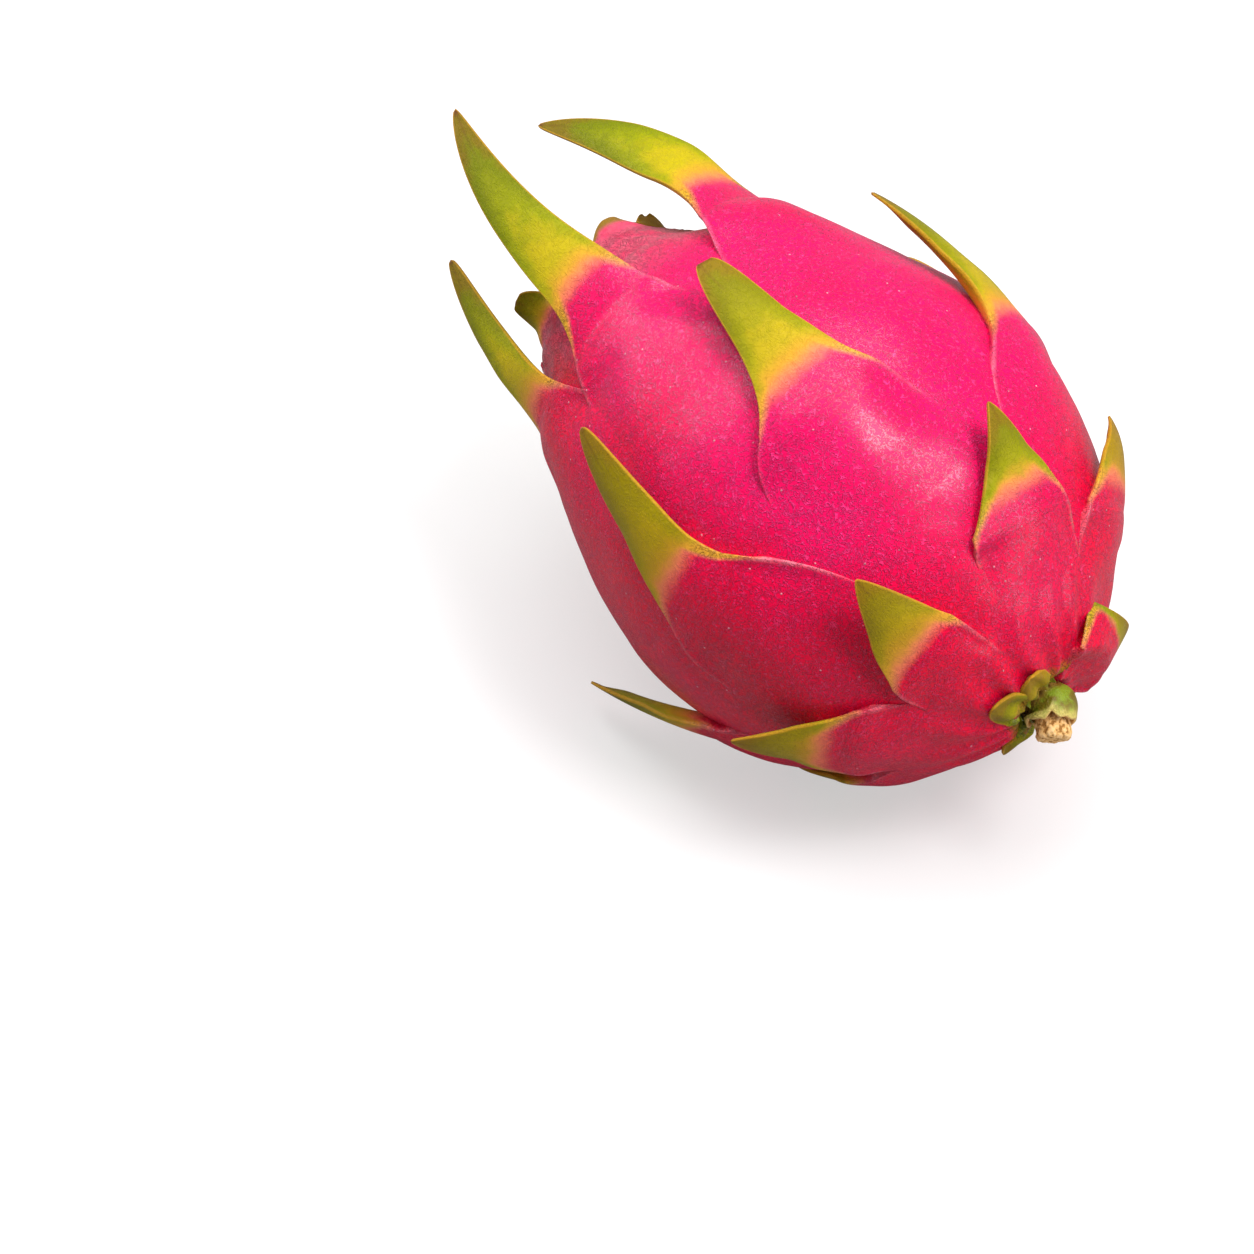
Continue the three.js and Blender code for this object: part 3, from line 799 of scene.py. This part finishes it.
def makeFlesh(grainGroup):
    group, given, result = newGroup("rindFlesh", {
        "Vector": "NodeSocketVector", "StandingHeight": "NodeSocketFloat"},
        {"Color": "NodeSocketColor", "Height": "NodeSocketFloat", "Roughness": "NodeSocketFloat",
         "Coat": "NodeSocketFloat"})
    look = skinLook
    where = given["Vector"]
    grains = addNode(group, "ShaderNodeGroup", {"node_tree": grainGroup}, Vector=where).outputs
    patches = noiseAt(group, where, look["patchScale"], 3.0)
    # painted light and shade: the flesh lightens with height above the table, from the darker deep
    # crimson to the lighter pink, mixed by random patches
    high = ramp(group, addNode(group, "ShaderNodeSeparateXYZ", Vector=where).outputs["Z"],
                look["paintedLightFrom"], look["paintedLightTo"], 0.1, 0.8)
    high = ramp(group, timesPlus(group, centred(group, patches), look["patchShift"], high), 0.0, 1.0)
    flesh = blend(group, high, look["deep"], look["paintedLitPink"])
    # lighter streaks, part grain and part painted glints, shown more where the flesh is painted lit
    shown = ramp(group, high, 0.0, 1.0, *look["streaksAndGlintsShown"])
    flesh = blend(group, times(group, grains["Streaks"], shown), flesh, look["streak"])
    flesh = blend(group, times(group, grains["Specks"], look["specksShown"]), flesh, look["speck"])
    folds = noiseAt(group, where, look["foldScale"], 3.0, 0.6)
    neck = times(group, ramp(group, given["StandingHeight"], *look["neckAt"]),
                 ramp(group, folds, 0.3, 0.65, 0.35, 0.95))
    flesh = blend(group, neck, flesh, look["neck"])
    rough = ramp(group, grains["Height"], 0.3, 1.4, *look["roughness"])
    everywhere, onStreaks = look["coat"]
    coat = timesPlus(group, grains["Streaks"], onStreaks, everywhere)
    for name, value in (("Color", flesh), ("Height", grains["Height"]), ("Roughness", rough),
                        ("Coat", coat)):
        group.links.new(value, result[name])
    return group


def newSkin(name, fleshGroup):
    material, tree, shader = newMaterial(name, **{
        "Coat IOR": 1.45, "Coat Roughness": 0.27, "Specular IOR Level": 0.18,
        "Specular Tint": skinLook["gloss"], "Sheen Weight": 0.08, "Sheen Roughness": 0.3,
        "Sheen Tint": skinLook["haze"]})
    where = addNode(tree, "ShaderNodeTexCoord").outputs["Object"]
    flesh = addNode(tree, "ShaderNodeGroup", {"node_tree": fleshGroup}, Vector=where,
                    StandingHeight=attribute(tree, "height"))
    return material, tree, shader, flesh.outputs


def raiseBump(tree, shader, height, distance):
    bump = addNode(tree, "ShaderNodeBump", Strength=1.0, Distance=distance, Height=height)
    tree.links.new(bump.outputs["Normal"], shader.inputs["Normal"])


def makeBodySkin(fleshGroup):
    material, tree, shader, flesh = newSkin("bodySkin", fleshGroup)
    look = skinLook
    height, hidden = attribute(tree, "height"), attribute(tree, "hidden")
    wobble = noiseAt(tree, addNode(tree, "ShaderNodeTexCoord").outputs["Object"], look["frayScale"], 3.0)
    low, near = look["stemRing"]
    out = timesPlus(tree, wobble, look["fray"][0], attribute(tree, "fromAxis"))
    ring = times(tree, fade(tree, height, *low), fade(tree, out, *near))
    colour = blend(tree, ring, flesh["Color"], look["ring"])
    rim = timesPlus(tree, centred(tree, wobble), look["fray"][1], height)
    rim = ramp(tree, rim, *look["blossomRim"], 0.0, look["rimShown"])
    colour = blend(tree, rim, colour, look["ring"])
    withered = blend(tree, ramp(tree, wobble, 0.42, 0.66), look["hollow"], look["fibre"])
    colour = blend(tree, times(tree, hidden, look["hollowShown"]), colour, withered)
    tree.links.new(colour, shader.inputs["Base Color"])
    dull = calculate(tree, "MAXIMUM", hidden, ring)
    tree.links.new(timesPlus(tree, dull, look["dulled"], flesh["Roughness"]), shader.inputs["Roughness"])
    bare = calculate(tree, "SUBTRACT", 1.0, dull)
    tree.links.new(times(tree, flesh["Coat"], bare), shader.inputs["Coat Weight"])
    raiseBump(tree, shader, flesh["Height"], look["bumpDepth"])
    return material


bractBumps = {
    "ribScales": (3.0, 0.12),  # per millimetre, across and along
    "ribs": 0.12,
    "creaseScales": (0.22, 1.1),
    "creases": 1.3,
    "creased": ((-9.0, -3.0), (-1.0, 2.0)),  # millimetres from the foot: where they grow and shrink
    "rindLost": 0.8,  # share of the rind's grain that the blades are free of
}


def makeBractSkin(fleshGroup, bractGroup):
    material, tree, shader, flesh = newSkin("bractSkin", fleshGroup)
    names = {"Front": "front", "Tipward": "tipward", "Margin": "margin", "Across": "across",
             "Dried": "dried", "Old": "old", "Bronze": "bronze", "Seam": "seam", "PinkTo": "pinkTo",
             "Arm": "arm"}
    known = {socket: attribute(tree, name) for socket, name in names.items()}
    across, front = known["Across"], known["Front"]
    bractNode = addNode(tree, "ShaderNodeGroup", {"node_tree": bractGroup}, Flesh=flesh["Color"], **known)
    tree.links.new(bractNode.outputs["Color"], shader.inputs["Base Color"])
    tree.links.new(flesh["Roughness"], shader.inputs["Roughness"])
    onBlade = bractNode.outputs["Blade"]
    onRind = calculate(tree, "SUBTRACT", 1.0, onBlade)
    tree.links.new(times(tree, flesh["Coat"], onRind), shader.inputs["Coat Weight"])
    bumps = bractBumps
    ribs = noiseAt(tree, stretched(tree, across, front, bumps["ribScales"]), 1.0, 2.0)
    creases = noiseAt(tree, stretched(tree, across, front, bumps["creaseScales"]), 1.0, 2.0, 0.4)
    grows, shrinks = bumps["creased"]
    atFoot = times(tree, ramp(tree, front, *grows), fade(tree, front, *shrinks))
    height = timesPlus(tree, times(tree, creases, atFoot), bumps["creases"], flesh["Height"])
    left = timesPlus(tree, onBlade, -bumps["rindLost"], 1.0)
    height = timesPlus(tree, times(tree, ribs, onBlade), bumps["ribs"], times(tree, height, left))
    raiseBump(tree, shader, height, skinLook["bumpDepth"])
    return material


rindFlesh = makeFlesh(makeGrain())
bodySkin = makeBodySkin(rindFlesh)
bractSkin = makeBractSkin(rindFlesh, makeBractColour())
fruitBody.data.materials.append(bodySkin)
for piece in bractPieces:
    piece.data.materials.append(bractSkin)
print("materials made")

# the cut stem: a pulpy core in what is left of its green rind. Drawn straight down out of the
# pit, then bent. Profiles are pairs of way past the stem end of the body and radius, in millimetres.
stem = {
    "bend": 38,
    "bendsTo": -125,
    "bentOver": 2.4,
    "around": 120,
    "rings": 90,
    "rind": ((-2.7, 0), (-2.7, 3.7), (-1, 4.1), (0.8, 4.6), (2.4, 4.8), (3.5, 4.65), (3.7, 4.35),
             (3.5, 4), (1.8, 3.8), (-1.6, 3.3), (-1.6, 0)),
    # turn, depth and width of each
    "tears": ((-150, 1.5, 14), (-85, 0.7, 30), (-20, 1.3, 20), (70, 1.1, 24), (130, -0.9, 40)),
    "tearSharpness": 1.3,
    "lipFrom": (0.42, 0.5),  # shares of the rind's profile
    "innerFrom": (0.5, 0.56),
    "rindLumps": 0.25,
    "rindLumpSize": 1.4,
    "core": ((-2.6, 0), (-2.6, 2.8), (0, 2.9), (2.6, 3), (5.8, 3.15), (6.5, 2.9), (6.8, 2.2), (6.7, 0)),
    "coreLumps": 0.4,
    "coreLumpSize": 2.2,
    "crumbs": 0.14,
    "crumbSizes": (0.55, 0.3),
    "endStarts": (5.8, 6.4),
}


def bendStem(points):
    bend = math.radians(stem["bend"]) * smooth(-points[:, 2], 0, stem["bentOver"])[:, None]
    to = math.radians(stem["bendsTo"])
    axis = np.array((math.sin(to), -math.cos(to), 0))
    onAxis = (points @ axis)[:, None] * axis
    return points * np.cos(bend) + np.cross(axis, points) * np.sin(bend) + onAxis * (1 - np.cos(bend))


def growStemPart(name, profile):
    ball = addBall(name, stem["around"], stem["rings"])
    at = placesOf(ball)
    past, radii = np.array(profile, float).T
    gone = np.concatenate(([0], np.cumsum(np.hypot(np.diff(radii), np.diff(past)))))
    way = (1 - np.arccos(np.clip(at[:, 2], -1, 1)) / np.pi) * gone[-1]
    turn = np.arctan2(at[:, 1], at[:, 0])
    return ball, turn, way, np.interp(way, gone, past), np.interp(way, gone, radii)


def placeStemPart(ball, turn, past, r):
    points = np.stack((np.cos(turn) * r, np.sin(turn) * r, -past), axis=-1)
    place(ball, layDown(bendStem(points)))


def growRind():
    ball, turn, way, past, r = growStemPart("stemRind", stem["rind"])
    lip = max(p for p, _ in stem["rind"])
    torn = np.zeros(len(turn))
    for where, deep, wide in stem["tears"]:
        off = np.abs((np.degrees(turn) - where + 180) % 360 - 180)
        torn += deep * np.clip(1 - off / wide, 0, 1) ** stem["tearSharpness"]
    ring = np.stack((np.cos(turn) * 3, np.sin(turn) * 3, past * 0.4), axis=-1)
    lumps = noiseOver(ring, stem["rindLumpSize"], 4)
    past = past - (torn + 0.5 * lumps) * smooth(past, 0, lip)
    r = r + (stem["rindLumps"] * lumps + 0.15 * torn) * smooth(past, -1, 1) * (r > 1)
    placeStemPart(ball, turn, past, r)
    share = way / way.max()
    giveAttribute(ball, "inner", smooth(share, *stem["innerFrom"]))
    giveAttribute(ball, "lip", smooth(share, *stem["lipFrom"]))
    giveAttribute(ball, "past", past)
    return ball


def growCore():
    ball, turn, way, past, r = growStemPart("stemCore", stem["core"])
    points = np.stack((np.cos(turn) * r, np.sin(turn) * r, past), axis=-1)
    lumps = noiseOver(points, stem["coreLumpSize"], 5)
    coarse, fine = stem["crumbSizes"]
    crumbs = noiseOver(points * (1, 1, 0.45), coarse, 6) + 0.6 * noiseOver(points, fine, 7)
    grown = (stem["coreLumps"] * lumps + stem["crumbs"] * crumbs) * smooth(past, -1, 1.5)
    atEnd = smooth(past, *stem["endStarts"])
    placeStemPart(ball, turn, past + grown * atEnd, r + grown * (1 - 0.6 * atEnd) * np.minimum(r, 1))
    giveAttribute(ball, "crumb", 0.5 + 0.7 * crumbs + 0.3 * lumps)
    giveAttribute(ball, "past", past)
    return ball


stemLook = {
    "lime": (0.22, 0.30, 0.012, 1),
    "olive": (0.17, 0.125, 0.006, 1),
    "edge": (0.60, 0.50, 0.12, 1),
    "tan": (0.80, 0.46, 0.17, 1),
    "pale": (0.90, 0.58, 0.27, 1),
    "brown": (0.34, 0.15, 0.035, 1),
    "clouds": 420.0,  # per metre
    "fine": 2400.0,
    "fibres": 900.0,
    "bumpDepth": 0.0003,
}


def makeRindSkin():
    material, tree, shader = newMaterial("stemRindSkin", **{"Roughness": 0.42, "Specular IOR Level": 0.4})
    look = stemLook
    where = addNode(tree, "ShaderNodeTexCoord").outputs["Object"]
    clouds = noiseAt(tree, where, look["clouds"], 3.0)
    fine = noiseAt(tree, where, look["fine"], 2.0)
    colour = blend(tree, ramp(tree, clouds, 0.42, 0.6), look["lime"], look["olive"])
    edge = times(tree, attribute(tree, "lip"), ramp(tree, fine, 0.25, 0.6, 0.5, 1.0))
    colour = blend(tree, edge, colour, look["edge"])
    colour = blend(tree, attribute(tree, "inner"), colour, look["tan"])
    deep = fade(tree, attribute(tree, "past"), -1.5, 0.3)
    colour = blend(tree, times(tree, deep, 0.8), colour, look["brown"])
    tree.links.new(colour, shader.inputs["Base Color"])
    raiseBump(tree, shader, calculate(tree, "ADD", fine, clouds), look["bumpDepth"])
    return material


def makeCoreSkin():
    material, tree, shader = newMaterial("stemCoreSkin", **{"Roughness": 0.85, "Specular IOR Level": 0.2})
    look = stemLook
    where = addNode(tree, "ShaderNodeTexCoord").outputs["Object"]
    fine = noiseAt(tree, where, look["fibres"], 4.0, 0.5)
    crumb = timesPlus(tree, centred(tree, fine), 1.4, attribute(tree, "crumb"))
    colour = blend(tree, ramp(tree, crumb, 0.1, 0.5), look["brown"], look["tan"])
    colour = blend(tree, ramp(tree, crumb, 0.5, 0.75), colour, look["pale"])
    shaded = ramp(tree, attribute(tree, "past"), 2.0, 4.5, 0.55, 0.0)
    colour = blend(tree, shaded, colour, look["brown"])
    tree.links.new(colour, shader.inputs["Base Color"])
    raiseBump(tree, shader, times(tree, fine, 2.0), look["bumpDepth"])
    return material


stemRind = growRind()
stemCore = growCore()
for piece, material in ((stemRind, makeRindSkin()), (stemCore, makeCoreSkin())):
    piece.data.materials.append(material)
    finish(piece, "stem_stub")
print("stem grown")

# table, light and camera
studio = {
    "tableSize": 6.0,
    "tableColour": (0.45, 0.443, 0.443, 1),
    "tableInGloss": (0.2, 0.197, 0.197, 1),
    "tableGlow": 0.5,
    "world": 0.2,
    "lightsAimAt": (0, 0, 0.04),
    "lights": (
        {"name": "top", "at": (-0.15, 0.1, 0.9), "size": 0.8, "power": 7.5},
        {"name": "key", "at": (0.46, 0.12, 0.95), "size": 0.34, "power": 7},
        {"name": "rightFill", "at": (0.9, 0.4, 0.25), "size": 0.7, "power": 4},
        {"name": "leftFill", "at": (-0.8, -0.3, 0.55), "size": 0.7, "power": 4.2},
    ),
}
view = {
    "turn": 48,  # 0 looks along +Y
    "rise": 47,
    "distance": 0.7,
    "focalPixels": 3800,
    "frameSize": 1254,
    "aimedAt": (0, 0, 0.044),
    "seenAt": (847.5, 521.7),  # where that point lies in the frame, in pixels
}


def makeStage():
    selectOnly(fruitBody)
    bpy.ops.mesh.primitive_plane_add(size=studio["tableSize"], location=(0, 0, 0))
    table = bpy.context.object
    table.name = "table"
    material, tree, shader = newMaterial("tableWhite", **{
        "Roughness": 0.8, "Specular IOR Level": 0.1, "Emission Color": (1, 1, 1, 1)})
    rays = addNode(tree, "ShaderNodeLightPath").outputs
    colour = blend(tree, rays["Is Glossy Ray"], studio["tableColour"], studio["tableInGloss"])
    glow = times(tree, rays["Is Camera Ray"], studio["tableGlow"])
    tree.links.new(colour, shader.inputs["Base Color"])
    tree.links.new(glow, shader.inputs["Emission Strength"])
    table.data.materials.append(material)
    world = bpy.context.scene.world or bpy.data.worlds.new("studioWorld")
    bpy.context.scene.world = world
    world.use_nodes = True
    background = world.node_tree.nodes["Background"]
    background.inputs["Color"].default_value = (1, 1, 1, 1)
    background.inputs["Strength"].default_value = studio["world"]
    for light in studio["lights"]:
        bpy.ops.object.light_add(type="AREA", location=light["at"])
        lamp = bpy.context.object
        lamp.name = light["name"]
        lamp.data.size = light["size"]
        lamp.data.energy = light["power"]
        ahead = Vector(studio["lightsAimAt"]) - lamp.location
        lamp.rotation_euler = ahead.to_track_quat("-Z", "Y").to_euler()
    bpy.context.scene.view_settings.view_transform = "Standard"


def makeCamera():
    turn, rise = math.radians(view["turn"]), math.radians(view["rise"])
    back = Vector((math.sin(turn) * math.cos(rise), -math.cos(turn) * math.cos(rise), math.sin(rise)))
    right = Vector((math.cos(turn), math.sin(turn), 0))
    up = back.cross(right)
    metresPerPixel = view["distance"] / view["focalPixels"]
    centre = view["frameSize"] / 2
    stand = Vector(view["aimedAt"]) + back * view["distance"]
    stand -= right * (view["seenAt"][0] - centre) * metresPerPixel
    stand += up * (view["seenAt"][1] - centre) * metresPerPixel
    bpy.ops.object.camera_add(location=stand, rotation=back.to_track_quat("Z", "Y").to_euler())
    camera = bpy.context.object
    camera.data.sensor_width = 36
    camera.data.lens = camera.data.sensor_width * view["focalPixels"] / view["frameSize"]
    camera.data.clip_start = 0.01
    bpy.context.scene.camera = camera


makeStage()
makeCamera()
print("stage and camera set")
